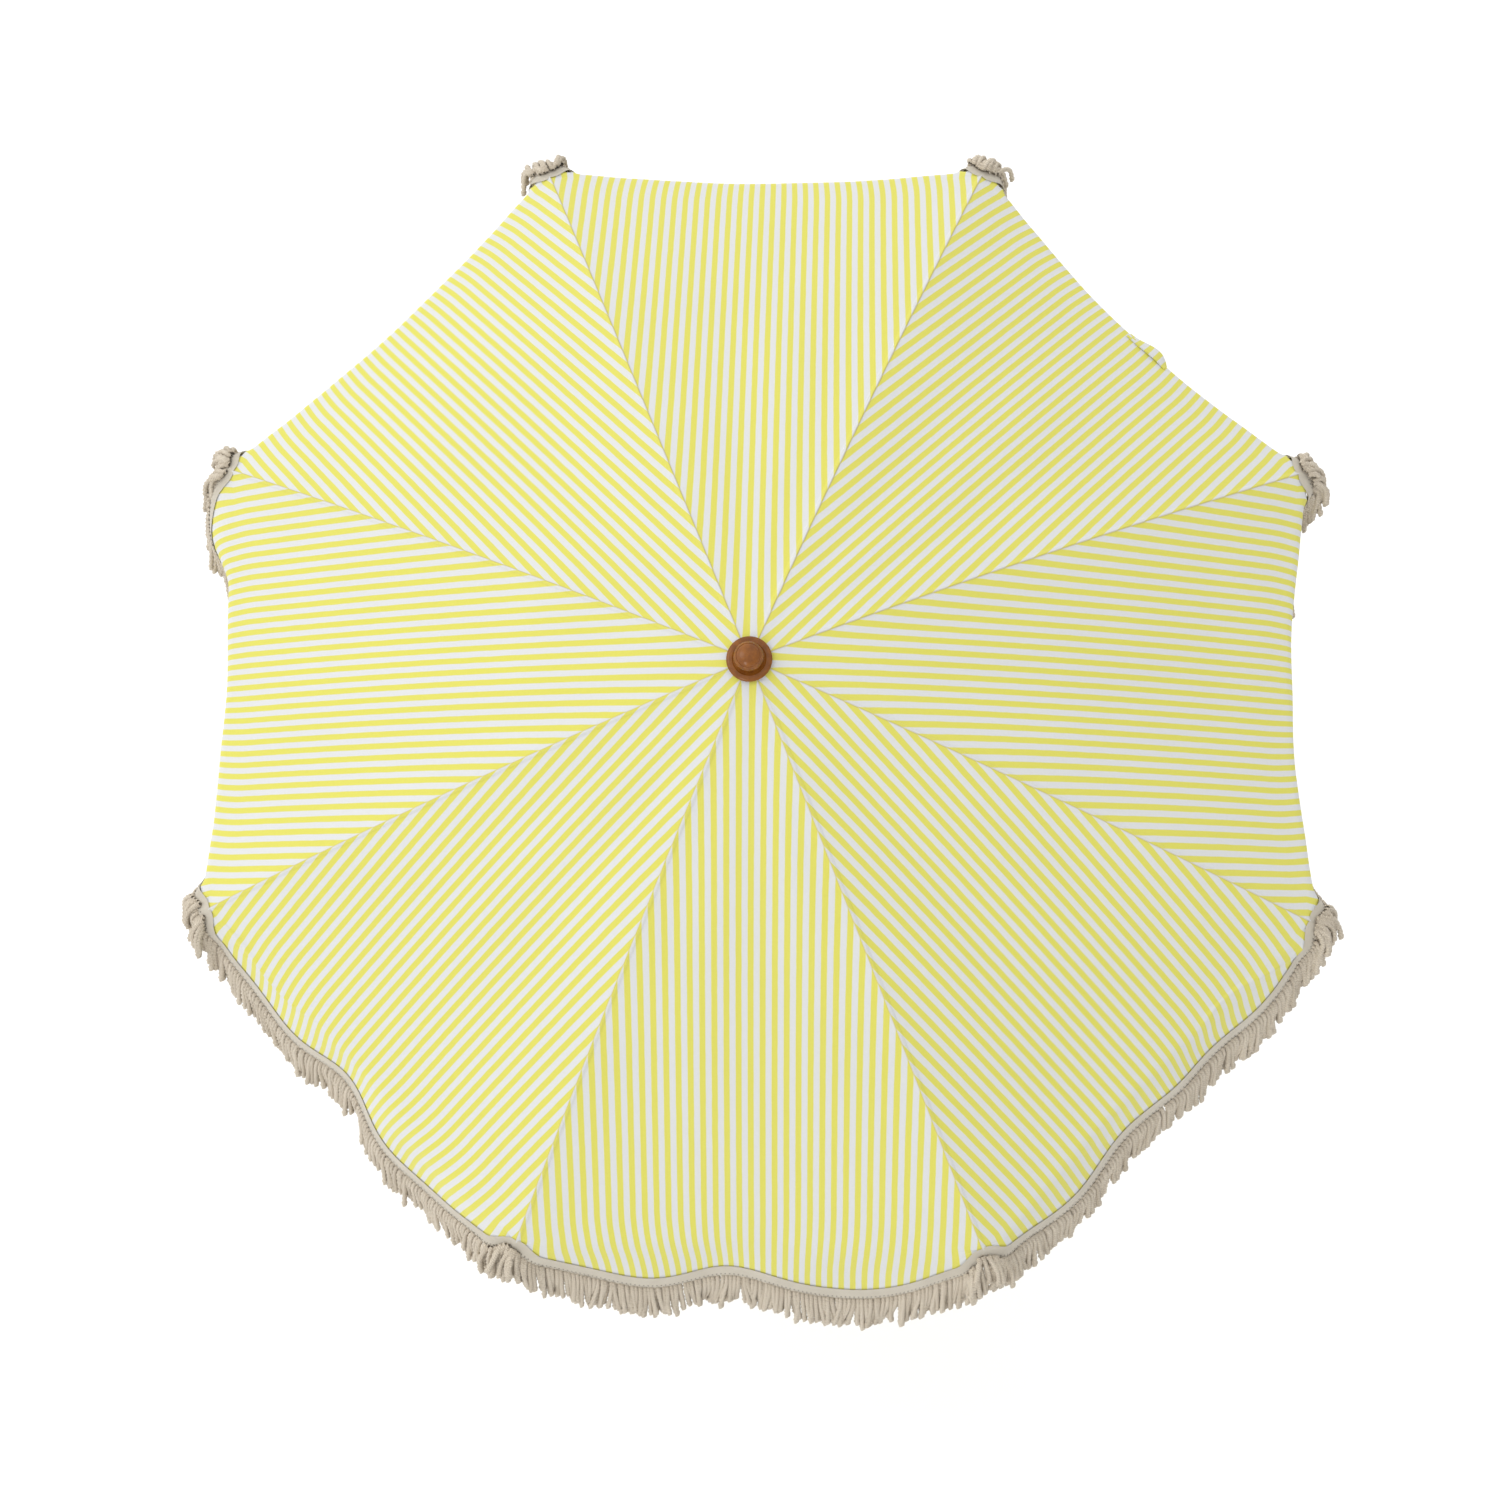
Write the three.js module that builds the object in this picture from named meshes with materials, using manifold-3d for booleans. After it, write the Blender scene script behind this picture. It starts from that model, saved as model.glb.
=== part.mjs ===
// Beach umbrella with a tilting head: timber pole in three lengths, eight ribs, striped fringed canopy.
// Millimetres, +Z up, origin at the tip of the ground spike. The head leans toward -Y at rest.
import * as THREE from 'three';
import { mergeVertices } from 'three/addons/utils/BufferGeometryUtils.js';
import Module from 'manifold-3d';

const wasm = await Module();
wasm.setup();

// ---- driving dimensions ----
const RIBS = 8;
const STEP = (2 * Math.PI) / RIBS;
const HALF = STEP / 2;
const TILT = THREE.MathUtils.degToRad(40);
const GAP = 0.3;
// pole
const KNUCKLE_Z = 1250;
const POLE_R = 19;
const UPPER_R = 16;
const SPIKE_TOP = 120;
const LOWER_TOP = 600;
const SLEEVE_FROM = 480;
const SLEEVE_TOP = 760;
const SLEEVE_R = 21.5;
const SCREW_Z = 725;
// tilt knuckle, measured from its pivot
const CHEEK_IN = 13;
const CHEEK_OUT = 21;
const CHEEK_R = 26;
const LUG_R = 24;
const FORK_FLOOR = -34;
const TONGUE_COLLAR = 28;
const TONGUE_TOP = 88;
// head, measured up the leaning axis from the tilt pivot
const APEX = 950;
const RIM = 700;
const CROWN = 935;
const POLE_TOP = 944;
const RUNNER = 651.9;
const RING_R = 27;
const WIRE_R = 1.2;
// canopy
const SPREAD = 900;
const RISE = APEX - RIM;
const BOW = 40;
const CLOTH = 1.2;
const EDGE_SAG = 20;
const CROSS_SAG = 14;
const LOBE = 92;
const TAPE = 18;
const STRAND = 72;
const FRINGE = 3;
// ribs and stretchers
const ROD_R = 2.5;
const ROD_BELOW = 6.6;
const EYE_R = 5;
const STRETCHER = 400;
const STRETCHER_T = 3.2;
const BESIDE = 4.6;
const JOIN_AT = 0.38;
const LUG_DROP = 8;

// ---- materials ----
const paint = (color, roughness, metalness) => new THREE.MeshStandardMaterial({ color, roughness, metalness });
const timber = () => paint(0xb98552, 0.55, 0);
const varnished = () => paint(0x8b5424, 0.25, 0);
const brass = () => paint(0xb08d4a, 0.35, 1);
const steel = () => paint(0xa9adb0, 0.4, 1);
const nylon = () => paint(0xece7da, 0.5, 0);
const darkNylon = () => paint(0x4a4038, 0.5, 0);
const cloth = () => paint(0xe6e29a, 0.9, 0);
const cotton = () => paint(0xd8cdc0, 0.95, 0);

// ---- helpers ----
function mesh(name, geometry, material) {
  const made = new THREE.Mesh(geometry, material);
  made.name = name;
  return made;
}

function toSolid(geometry) {
  const plain = geometry.clone();
  plain.deleteAttribute('normal');
  plain.deleteAttribute('uv');
  const welded = mergeVertices(plain, 1e-4);
  const vertProperties = new Float32Array(welded.attributes.position.array);
  const triVerts = new Uint32Array(welded.index.array);
  return new wasm.Manifold(new wasm.Mesh({ numProp: 3, vertProperties, triVerts }));
}

function toGeometry(solid) {
  const data = solid.getMesh();
  const geometry = new THREE.BufferGeometry();
  geometry.setAttribute('position', new THREE.BufferAttribute(new Float32Array(data.vertProperties), 3));
  geometry.setIndex(new THREE.BufferAttribute(new Uint32Array(data.triVerts), 1));
  geometry.computeVertexNormals();
  return geometry;
}

// Turned shape about Z from [radius, height] pairs; the profile closes on the axis or on itself.
function turned(profile, segments = 24) {
  const points = profile.map(([radius, height]) => new THREE.Vector2(radius, height));
  const lathe = new THREE.LatheGeometry(points, segments);
  lathe.rotateX(Math.PI / 2);
  return lathe;
}

function tube(inner, outer, from, to, segments = 24) {
  return turned([[inner, from], [outer, from], [outer, to], [inner, to], [inner, from]], segments);
}

function rod(radius, from, to, segments = 24) {
  return turned([[0, from], [radius, from], [radius, to], [0, to]], segments);
}

function block(x0, x1, y0, y1, z0, z1) {
  const box = new THREE.BoxGeometry(x1 - x0, y1 - y0, z1 - z0);
  box.translate((x0 + x1) / 2, (y0 + y1) / 2, (z0 + z1) / 2);
  return box;
}

// A flat outline in X and Z, made thick along Y from y0 to y1.
function plate(shape, y0, y1, curveSegments = 8) {
  const made = new THREE.ExtrudeGeometry(shape, { depth: y1 - y0, bevelEnabled: false, curveSegments });
  made.rotateX(Math.PI / 2);
  made.translate(0, y1, 0);
  return made;
}

const alongX = (geometry) => geometry.rotateY(Math.PI / 2);
const alongY = (geometry) => geometry.rotateX(-Math.PI / 2);

function around(index, object) {
  const turn = new THREE.Group();
  turn.rotation.z = HALF + index * STEP;
  turn.add(object);
  return turn;
}

// ---- pole ----
function groundSpike() {
  const bore = POLE_R + GAP;
  return turned([
    [0, 0], [3, 6], [12, 46], [22, 58], [23, 62], [23, 108], [24.5, 110], [24.5, 118],
    [23.5, SPIKE_TOP], [bore, SPIKE_TOP], [bore, 62], [0, 62],
  ]);
}

function sleeve() {
  const inner = POLE_R + GAP;
  const shell = toSolid(turned([
    [inner, SLEEVE_FROM], [SLEEVE_R, SLEEVE_FROM], [SLEEVE_R, SLEEVE_TOP - 10], [23.5, SLEEVE_TOP - 8],
    [23.5, SLEEVE_TOP - 2], [SLEEVE_R, SLEEVE_TOP], [inner, SLEEVE_TOP], [inner, SLEEVE_FROM],
  ], 28));
  const boss = toSolid(alongY(rod(9, 20.4, 31, 20)).translate(0, 0, SCREW_Z));
  const hole = toSolid(alongY(rod(4.4, 10, 40, 20)).translate(0, 0, SCREW_Z));
  return toGeometry(shell.add(boss).subtract(hole));
}

function clampScrew() {
  const head = new THREE.Shape();
  const lobes = 5;
  const steps = 40;
  for (let i = 0; i < steps; i += 1) {
    const angle = (i / steps) * 2 * Math.PI;
    const radius = 15 + 2.5 * Math.cos(lobes * angle);
    if (i === 0) {
      head.moveTo(radius, 0);
    } else {
      head.lineTo(radius * Math.cos(angle), radius * Math.sin(angle));
    }
  }
  const knob = toSolid(plate(head, 32, 44));
  const shank = toSolid(alongY(rod(4, POLE_R + GAP, 36, 16)));
  return toGeometry(knob.add(shank));
}

// ---- tilt knuckle ----
function fork() {
  const floor = KNUCKLE_Z + FORK_FLOOR;
  const bore = POLE_R + GAP;
  const socket = toSolid(turned([
    [bore, 1126], [23, 1126], [24.5, 1128], [24.5, 1136], [23.5, 1138], [23.5, floor - 10],
    [21, floor], [0, floor], [0, 1190.3], [bore, 1190.3], [bore, 1126],
  ], 28));
  const outline = new THREE.Shape();
  const foot = floor - 14;
  outline.moveTo(-20, foot);
  outline.lineTo(20, foot);
  outline.lineTo(CHEEK_R, KNUCKLE_Z - 12);
  outline.lineTo(CHEEK_R, KNUCKLE_Z);
  outline.absarc(0, KNUCKLE_Z, CHEEK_R, 0, Math.PI, false);
  outline.lineTo(-CHEEK_R, KNUCKLE_Z - 12);
  const cheeks = toSolid(plate(outline, -CHEEK_OUT, CHEEK_OUT, 10).rotateZ(Math.PI / 2));
  const gap = toSolid(block(-CHEEK_IN, CHEEK_IN, -40, 40, floor, KNUCKLE_Z + 40));
  const pinHole = toSolid(alongX(rod(4.8, 5, 40, 20)).translate(0, 0, KNUCKLE_Z));
  const buttonHole = toSolid(alongX(rod(7, -40, -5, 20)).translate(0, 0, KNUCKLE_Z));
  return toGeometry(socket.add(cheeks).subtract(gap).subtract(pinHole).subtract(buttonHole));
}

function tongue() {
  const outline = new THREE.Shape();
  outline.moveTo(-14, TONGUE_COLLAR + 4);
  outline.lineTo(-LUG_R, 0);
  outline.absarc(0, 0, LUG_R, Math.PI, 2 * Math.PI, false);
  outline.lineTo(14, TONGUE_COLLAR + 4);
  const half = CHEEK_IN - GAP;
  const lug = toSolid(plate(outline, -half, half, 10).rotateZ(Math.PI / 2));
  const bore = UPPER_R + GAP;
  const collar = toSolid(turned([
    [0, TONGUE_COLLAR], [18, TONGUE_COLLAR], [20, TONGUE_COLLAR + 3], [20, TONGUE_TOP - 10],
    [21.5, TONGUE_TOP - 8], [21.5, TONGUE_TOP - 1], [20.5, TONGUE_TOP], [bore, TONGUE_TOP],
    [bore, 33.7], [0, 33.7],
  ], 28));
  const pinBore = toSolid(alongX(rod(4.8, 3, 20, 20)));
  const recess = toSolid(alongX(rod(10.6, -20, 0, 20)));
  return toGeometry(lug.add(collar).subtract(pinBore).subtract(recess));
}

const tiltPin = () => alongX(turned([
  [0, 3.3], [4.5, 3.3], [4.5, 21.3], [9, 21.3], [9, 22.8], [7, 24.6], [0, 24.6],
], 20));

const tiltButton = () => alongX(turned([
  [0, -27], [5.4, -27], [6.7, -25.6], [6.7, -12.7], [10, -12.7], [10, -9.7], [3, -9.7], [3, -6], [0, -6],
], 20));

function springCoil(radius, wire, turns, from, to) {
  class Helix extends THREE.Curve {
    getPoint(t) {
      const angle = t * turns * 2 * Math.PI;
      return new THREE.Vector3(radius * Math.cos(angle), radius * Math.sin(angle), from + t * (to - from));
    }
  }
  const section = new THREE.Shape();
  section.absarc(0, 0, wire, 0, 2 * Math.PI, false);
  const steps = turns * 10;
  return new THREE.ExtrudeGeometry(section, { extrudePath: new Helix(), steps, curveSegments: 3 });
}

// ---- hubs that carry the ribs and the stretchers ----
function notched(profile, ringZ, slotTop, notchAt, notchHalf, notchFrom, from, to) {
  let body = toSolid(turned(profile, 32));
  body = body.subtract(toSolid(tube(RING_R - 1.8, RING_R + 1.8, ringZ - 1.8, slotTop, 32)));
  for (let i = 0; i < RIBS; i += 1) {
    const notch = block(notchFrom, 60, notchAt - notchHalf, notchAt + notchHalf, from, to);
    notch.rotateZ(HALF + i * STEP);
    body = body.subtract(toSolid(notch));
  }
  return body;
}

function crownHub() {
  const bore = UPPER_R + GAP;
  const profile = [
    [bore, 922], [30, 922], [35, 926], [35, 940], [33, 943], [bore, 943], [bore, 922],
  ];
  return toGeometry(notched(profile, CROWN, 950, 0, 2.9, 21.5, 900, 960));
}

function runner() {
  const bore = UPPER_R + 0.5;
  const profile = [
    [bore, -62], [22.5, -62], [24.5, -60], [24.5, -55], [22.5, -52], [22.5, -16], [28, -11],
    [35, -9], [35, 6], [33, 8], [bore, 8], [bore, -62],
  ];
  const body = notched(profile, 0, 20, BESIDE, 2, 21, -20, 20);
  const slot = toSolid(block(10, 30, -5.6, 5.6, -50, -16));
  return toGeometry(body.subtract(slot)).translate(0, 0, RUNNER);
}

function runnerLatch() {
  const side = new THREE.Shape();
  side.moveTo(17, -49);
  side.lineTo(21.5, -49);
  side.lineTo(22.5, -34);
  side.lineTo(26.5, -24);
  side.lineTo(26.5, -18);
  side.lineTo(24, -17);
  side.lineTo(19.6, -17);
  side.lineTo(19.6, -34);
  side.lineTo(17, -43);
  return plate(side, -5.2, 5.2).translate(0, 0, RUNNER);
}

const hubWire = (z) => new THREE.TorusGeometry(RING_R, WIRE_R, 5, 32).translate(0, 0, z);

// ---- top fittings ----
const topWasher = () => turned([
  [4.4, 951], [31, 951], [33, 952.4], [33, 954], [31, 955.4], [12, 956], [4.4, 956], [4.4, 951],
], 28);

const finial = () => turned([
  [0, 978], [4.4, 978], [4.4, 956.3], [13, 956.3], [12, 959], [11.5, 961], [15, 964], [19.6, 968],
  [21.5, 973], [20.6, 978.5], [17, 983], [11, 985.6], [5, 986.6], [0, 986.8],
], 24);

const finialStud = () => rod(4, 914.3, 977.6, 16);

const upperPole = () => turned([
  [0, 34], [UPPER_R, 34], [UPPER_R, POLE_TOP], [4.4, POLE_TOP], [4.4, 914], [0, 914],
]);

// ---- canopy surface ----
// Height of the cloth over a rib, above the plane of the rib tips.
function ribHeight(reach) {
  const s = reach / SPREAD;
  return RISE * (1 - s) + 4 * BOW * s * (1 - s);
}

const smooth = (x) => {
  const t = Math.min(Math.max(x, 0), 1);
  return t * t * (3 - 2 * t);
};

// Depth of the flap that hangs below the taut edge; across runs -1 to 1 from rib to rib.
function lobeDepth(across) {
  const shape = Math.max(1 - across ** 4, 0) ** 0.6;
  return LOBE * shape * (1 - 0.2 * Math.exp(-((across / 0.28) ** 2)));
}

// Pull of gravity at rest, in the frame of a panel whose centre line points at azimuth.
function pull(azimuth) {
  return new THREE.Vector3(
    -Math.sin(TILT) * Math.sin(azimuth),
    -Math.sin(TILT) * Math.cos(azimuth),
    -Math.cos(TILT),
  );
}

function tautPoint(across, share) {
  const rim = 1 - (EDGE_SAG / (SPREAD * Math.cos(HALF))) * (1 - across ** 2);
  const start = 8 / SPREAD;
  const s = start + (rim - start) * share;
  const reach = s * SPREAD;
  return new THREE.Vector3(
    reach * Math.cos(HALF),
    across * reach * Math.sin(HALF),
    ribHeight(reach) - CROSS_SAG * s * (1 - across ** 2),
  );
}

// Direction the cloth runs at a distance below the taut edge: first along the panel, then hanging.
function hangDirection(azimuth, below) {
  const panel = new THREE.Vector3(0.91, 0, -0.41);
  const down = pull(azimuth);
  down.y = 0;
  down.normalize();
  return panel.lerp(down, smooth(below / 34)).normalize();
}

function edgePoint(across, azimuth, below) {
  const point = tautPoint(across, 1);
  const steps = 8;
  for (let i = 0; i < steps; i += 1) {
    point.addScaledVector(hangDirection(azimuth, (below * (i + 0.5)) / steps), below / steps);
  }
  return point;
}

// One sector runs from panel centre to panel centre over a rib; side is -1 to 1 with the rib at 0.
function sectorFrame(index, side) {
  const rib = HALF + index * STEP;
  const turn = side >= 0 ? HALF : -HALF;
  return { azimuth: rib + turn, across: side >= 0 ? side - 1 : side + 1, turn };
}

function toSector(point, frame, side) {
  const placed = point.clone().applyAxisAngle(new THREE.Vector3(0, 0, 1), frame.turn);
  if (Math.abs(side) === 1) {
    const inward = new THREE.Vector3(-Math.sin(frame.turn), Math.cos(frame.turn), 0);
    placed.addScaledVector(inward, -Math.sign(side) * GAP * 0.55);
  }
  return placed;
}

// Closed thin shell about a grid of points.
function shell(grid, thickness) {
  const rows = grid.length;
  const columns = grid[0].length;
  const positions = [];
  const index = [];
  const clampRow = (r) => Math.min(Math.max(r, 0), rows - 1);
  const clampColumn = (c) => Math.min(Math.max(c, 0), columns - 1);
  for (const face of [1, -1]) {
    for (let r = 0; r < rows; r += 1) {
      for (let c = 0; c < columns; c += 1) {
        const along = grid[clampRow(r + 1)][c].clone().sub(grid[clampRow(r - 1)][c]);
        const over = grid[r][clampColumn(c + 1)].clone().sub(grid[r][clampColumn(c - 1)]);
        const normal = along.cross(over).normalize();
        const point = grid[r][c].clone().addScaledVector(normal, (face * thickness) / 2);
        positions.push(point.x, point.y, point.z);
      }
    }
  }
  const at = (face, r, c) => face * rows * columns + r * columns + c;
  const quad = (a, b, c, d) => index.push(a, b, c, a, c, d);
  for (let r = 0; r < rows - 1; r += 1) {
    for (let c = 0; c < columns - 1; c += 1) {
      quad(at(0, r, c), at(0, r + 1, c), at(0, r + 1, c + 1), at(0, r, c + 1));
      quad(at(1, r, c), at(1, r, c + 1), at(1, r + 1, c + 1), at(1, r + 1, c));
    }
  }
  for (let r = 0; r < rows - 1; r += 1) {
    quad(at(0, r, 0), at(1, r, 0), at(1, r + 1, 0), at(0, r + 1, 0));
    quad(at(0, r, columns - 1), at(0, r + 1, columns - 1), at(1, r + 1, columns - 1), at(1, r, columns - 1));
  }
  for (let c = 0; c < columns - 1; c += 1) {
    quad(at(0, 0, c), at(0, 0, c + 1), at(1, 0, c + 1), at(1, 0, c));
    quad(at(0, rows - 1, c), at(1, rows - 1, c), at(1, rows - 1, c + 1), at(0, rows - 1, c + 1));
  }
  const geometry = new THREE.BufferGeometry();
  geometry.setAttribute('position', new THREE.Float32BufferAttribute(positions, 3));
  geometry.setIndex(index);
  geometry.computeVertexNormals();
  return geometry.translate(0, 0, RIM);
}

const SIDES = [-1, -0.78, -0.56, -0.34, -0.15, 0, 0.15, 0.34, 0.56, 0.78, 1];

function canopySector(index) {
  const grid = [];
  for (const share of [0, 0.08, 0.2, 0.36, 0.52, 0.68, 0.84, 1]) {
    grid.push(SIDES.map((side) => {
      const frame = sectorFrame(index, side);
      return toSector(tautPoint(frame.across, share), frame, side);
    }));
  }
  for (const share of [0.12, 0.3, 0.6, 1]) {
    grid.push(SIDES.map((side) => {
      const frame = sectorFrame(index, side);
      const below = 1 + lobeDepth(frame.across) * share;
      return toSector(edgePoint(frame.across, frame.azimuth, below), frame, side);
    }));
  }
  return shell(grid, CLOTH);
}

function fringeSector(index) {
  const grid = [];
  for (const drop of [0, TAPE, TAPE + STRAND / 2, TAPE + STRAND]) {
    grid.push(SIDES.map((side) => {
      const frame = sectorFrame(index, side);
      const from = lobeDepth(frame.across) + 3;
      const point = edgePoint(frame.across, frame.azimuth, from + Math.min(drop, TAPE));
      point.addScaledVector(pull(frame.azimuth), Math.max(drop - TAPE, 0));
      return toSector(point, frame, side);
    }));
  }
  return shell(grid, FRINGE);
}

// ---- ribs ----
function ribPoint(reach) {
  const sink = ROD_BELOW + 6 * Math.exp(-(reach - RING_R) / 30);
  return new THREE.Vector3(reach, 0, RIM + ribHeight(reach) - sink);
}

class RibCurve extends THREE.Curve {
  constructor(from, to) {
    super();
    this.from = from;
    this.to = to;
  }

  getPoint(t) {
    return ribPoint(this.from + t * (this.to - this.from));
  }
}

const TIP_FROM = SPREAD - 26;
const TIP_TO = SPREAD - 4;

function joinPoint() {
  const reach = RING_R + JOIN_AT * (SPREAD - RING_R);
  return ribPoint(reach).add(new THREE.Vector3(0, 0, -LUG_DROP));
}

const disc = (radius, y0, y1, segments = 12) => alongY(rod(radius, y0, y1, segments));

function rib() {
  const section = new THREE.Shape();
  section.absarc(0, 0, ROD_R, 0, 2 * Math.PI, false);
  const path = new RibCurve(RING_R + 3, TIP_TO - 8);
  const bar = toSolid(new THREE.ExtrudeGeometry(section, { extrudePath: path, steps: 11, curveSegments: 3 }));
  const eye = toSolid(disc(EYE_R, -2, 2).translate(RING_R, 0, CROWN));
  const hole = toSolid(disc(1.8, -5, 5, 8).translate(RING_R, 0, CROWN));
  const join = joinPoint();
  const lug = new THREE.Shape();
  lug.moveTo(-9, LUG_DROP);
  lug.lineTo(-4.6, -2);
  lug.absarc(0, 0, EYE_R, Math.PI * 1.13, Math.PI * 1.87, false);
  lug.lineTo(9, LUG_DROP);
  const bracket = toSolid(plate(lug, -2.4, 2.4, 5).translate(join.x, 0, join.z));
  return toGeometry(bar.add(eye).add(bracket).subtract(hole));
}

function ribTip() {
  const along = ribPoint(TIP_TO).sub(ribPoint(TIP_FROM)).normalize();
  const made = turned([
    [ROD_R + 2 * GAP, 0], [4.2, 0], [4.2, 14], [4.6, 17], [4.6, 21], [3, 24], [0, 25], [0, 19.5],
    [ROD_R + 2 * GAP, 19.5], [ROD_R + 2 * GAP, 0],
  ], 9);
  const turn = new THREE.Quaternion().setFromUnitVectors(new THREE.Vector3(0, 0, 1), along);
  const start = ribPoint(TIP_FROM);
  return made.applyQuaternion(turn).translate(start.x, start.y, start.z);
}

function stretcher() {
  const inner = new THREE.Vector3(Math.sqrt(RING_R ** 2 - BESIDE ** 2), 0, RUNNER);
  const outer = joinPoint();
  const run = outer.clone().sub(inner);
  const length = run.length();
  const half = 3.4;
  const bar = new THREE.Shape();
  const bite = Math.asin(half / EYE_R);
  bar.absarc(0, 0, EYE_R, bite, 2 * Math.PI - bite, false);
  bar.absarc(length, 0, EYE_R, Math.PI + bite, 3 * Math.PI - bite, false);
  const eye = new THREE.Path();
  eye.absarc(0, 0, 2, 0, 2 * Math.PI, true);
  bar.holes.push(eye);
  const y0 = BESIDE - STRETCHER_T / 2;
  const body = toSolid(plate(bar, y0, y0 + STRETCHER_T, 5));
  const head = toSolid(disc(3, y0 + STRETCHER_T - 0.5, y0 + STRETCHER_T + 1.4, 12).translate(length, 0, 0));
  const made = toGeometry(body.add(head));
  made.rotateY(-Math.atan2(run.z, run.x));
  return made.translate(inner.x, inner.y, inner.z);
}

// ---- tie strap ----
// A short loop of cloth sewn behind the edge of the panel at azimuth 45 degrees.
function tieStrap() {
  const azimuth = 2 * HALF;
  const across = -0.12;
  const width = 26;
  const start = tautPoint(across, 1);
  const loop = [[18, -14], [30, -9], [42, -12], [45, -20], [38, -28], [26, -33], [15, -36]];
  const grid = loop.map(([out, up]) => [-0.5, 0, 0.5].map((share) => {
    const point = new THREE.Vector3(start.x + out, start.y + share * width, start.z + up);
    return point.applyAxisAngle(new THREE.Vector3(0, 0, 1), azimuth);
  }));
  return shell(grid, 2);
}

// ---- assembly ----
const group = new THREE.Group();
group.name = 'beach_umbrella';

group.add(mesh('ground_spike', groundSpike(), brass()));
group.add(mesh('lower_pole', rod(POLE_R, 62.3, LOWER_TOP), timber()));
group.add(mesh('pole_sleeve', sleeve(), brass()));
group.add(mesh('clamp_screw', clampScrew().translate(0, 0, SCREW_Z), brass()));
group.add(mesh('middle_pole', rod(POLE_R, LOWER_TOP + 1, 1190), timber()));
group.add(mesh('tilt_fork', fork(), nylon()));

const head = new THREE.Group();
head.name = 'head';
head.position.z = KNUCKLE_Z;
head.rotation.x = TILT;
group.add(head);

const knuckle = new THREE.Group();
knuckle.name = 'knuckle_fixed';
knuckle.position.z = KNUCKLE_Z;
knuckle.add(mesh('tilt_pin', tiltPin(), brass()));
knuckle.add(mesh('tilt_button', tiltButton(), darkNylon()));
knuckle.add(mesh('button_spring', alongX(springCoil(6.6, 0.8, 3, -8.4, -1.3)), steel()));
group.add(knuckle);

head.add(mesh('tilt_tongue', tongue(), nylon()));
head.add(mesh('upper_pole', upperPole(), timber()));
head.add(mesh('runner', runner(), nylon()));
head.add(mesh('runner_wire', hubWire(RUNNER), steel()));
head.add(mesh('runner_latch', runnerLatch(), darkNylon()));
head.add(mesh('crown_hub', crownHub(), nylon()));
head.add(mesh('crown_wire', hubWire(CROWN), steel()));
head.add(mesh('top_washer', topWasher(), varnished()));
head.add(mesh('finial', finial(), varnished()));
head.add(mesh('finial_stud', finialStud(), steel()));
head.add(mesh('tie_strap', tieStrap(), cloth()));
for (let i = 0; i < RIBS; i += 1) {
  const number = i + 1;
  head.add(around(i, mesh(`rib_${number}`, rib(), steel())));
  head.add(around(i, mesh(`rib_tip_${number}`, ribTip(), nylon())));
  head.add(around(i, mesh(`stretcher_${number}`, stretcher(), steel())));
  head.add(around(i, mesh(`canopy_${number}`, canopySector(i), cloth())));
  head.add(around(i, mesh(`fringe_${number}`, fringeSector(i), cotton())));
}

export default group;
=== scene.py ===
# Looks of the beach umbrella: striped cover, tape and fringe, timber, brass and nylon. Metres, row frame.
import math

import bpy
import numpy as np
from mathutils import Matrix


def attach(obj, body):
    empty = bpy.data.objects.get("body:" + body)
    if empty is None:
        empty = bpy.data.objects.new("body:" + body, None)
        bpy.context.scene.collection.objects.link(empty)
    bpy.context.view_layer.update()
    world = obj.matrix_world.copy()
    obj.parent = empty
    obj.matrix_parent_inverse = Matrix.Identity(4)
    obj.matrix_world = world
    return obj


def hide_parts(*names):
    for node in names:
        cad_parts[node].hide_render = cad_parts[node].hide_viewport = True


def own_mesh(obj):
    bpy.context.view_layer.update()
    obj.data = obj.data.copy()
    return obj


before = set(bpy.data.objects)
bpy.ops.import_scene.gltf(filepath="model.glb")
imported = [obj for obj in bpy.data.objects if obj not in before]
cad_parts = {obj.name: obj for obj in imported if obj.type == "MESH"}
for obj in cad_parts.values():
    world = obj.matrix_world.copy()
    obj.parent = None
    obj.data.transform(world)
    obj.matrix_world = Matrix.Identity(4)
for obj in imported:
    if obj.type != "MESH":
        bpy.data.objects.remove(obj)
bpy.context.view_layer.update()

# ---- dimensions of the head, in metres ----
PANELS = 8
STEP = 2 * math.pi / PANELS
HALF = STEP / 2
TILT = math.radians(40)

# height of the tilt knuckle, then of the rim above it along the head's pole
KNUCKLE = 1.25
RIM = 0.7

# a rib: its reach from the pole, its rise from tip to crown, its bow above the straight line
SPREAD = 0.9
RISE = 0.25
BOW = 0.04

# a panel: how far its edge curves in, how much more on two of them, its sag, its flap's depth
EDGE_SAG = 0.02
DEEPER_SAG = 0.014
CROSS_SAG = 0.014
LOBE = 0.100

# radius of the small hole in the cover's middle, under the washer
CENTRE = 0.008

# the stripes' repeat, the tape's width, a strand's length, radius and spacing
STRIPE = 0.0177
TAPE = 0.022
STRAND = 0.064
STRAND_R = 0.0043
STRAND_GAP = 0.0066
# the width that one turn round a strand takes on its flat layer
GIRTH = 0.022

# the tie strap's width, and where it starts and ends between the middle of a panel and the rib
STRAP_WIDTH = 0.025
STRAP_START = -0.006
STRAP_END = -0.25

rng = np.random.default_rng(11)


# ---- frames ----
LEAN = Matrix.Translation((0, 0, KNUCKLE)) @ Matrix.Rotation(TILT, 4, "X")
CANOPY = LEAN @ Matrix.Translation((0, 0, RIM))


def placed(points, matrix=CANOPY):
    """Points in a leaning frame, taken to the row frame."""
    m = np.array(matrix)
    return points @ m[:3, :3].T + m[:3, 3]


def smooth(x):
    t = np.clip(x, 0, 1)
    return t * t * (3 - 2 * t)


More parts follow.
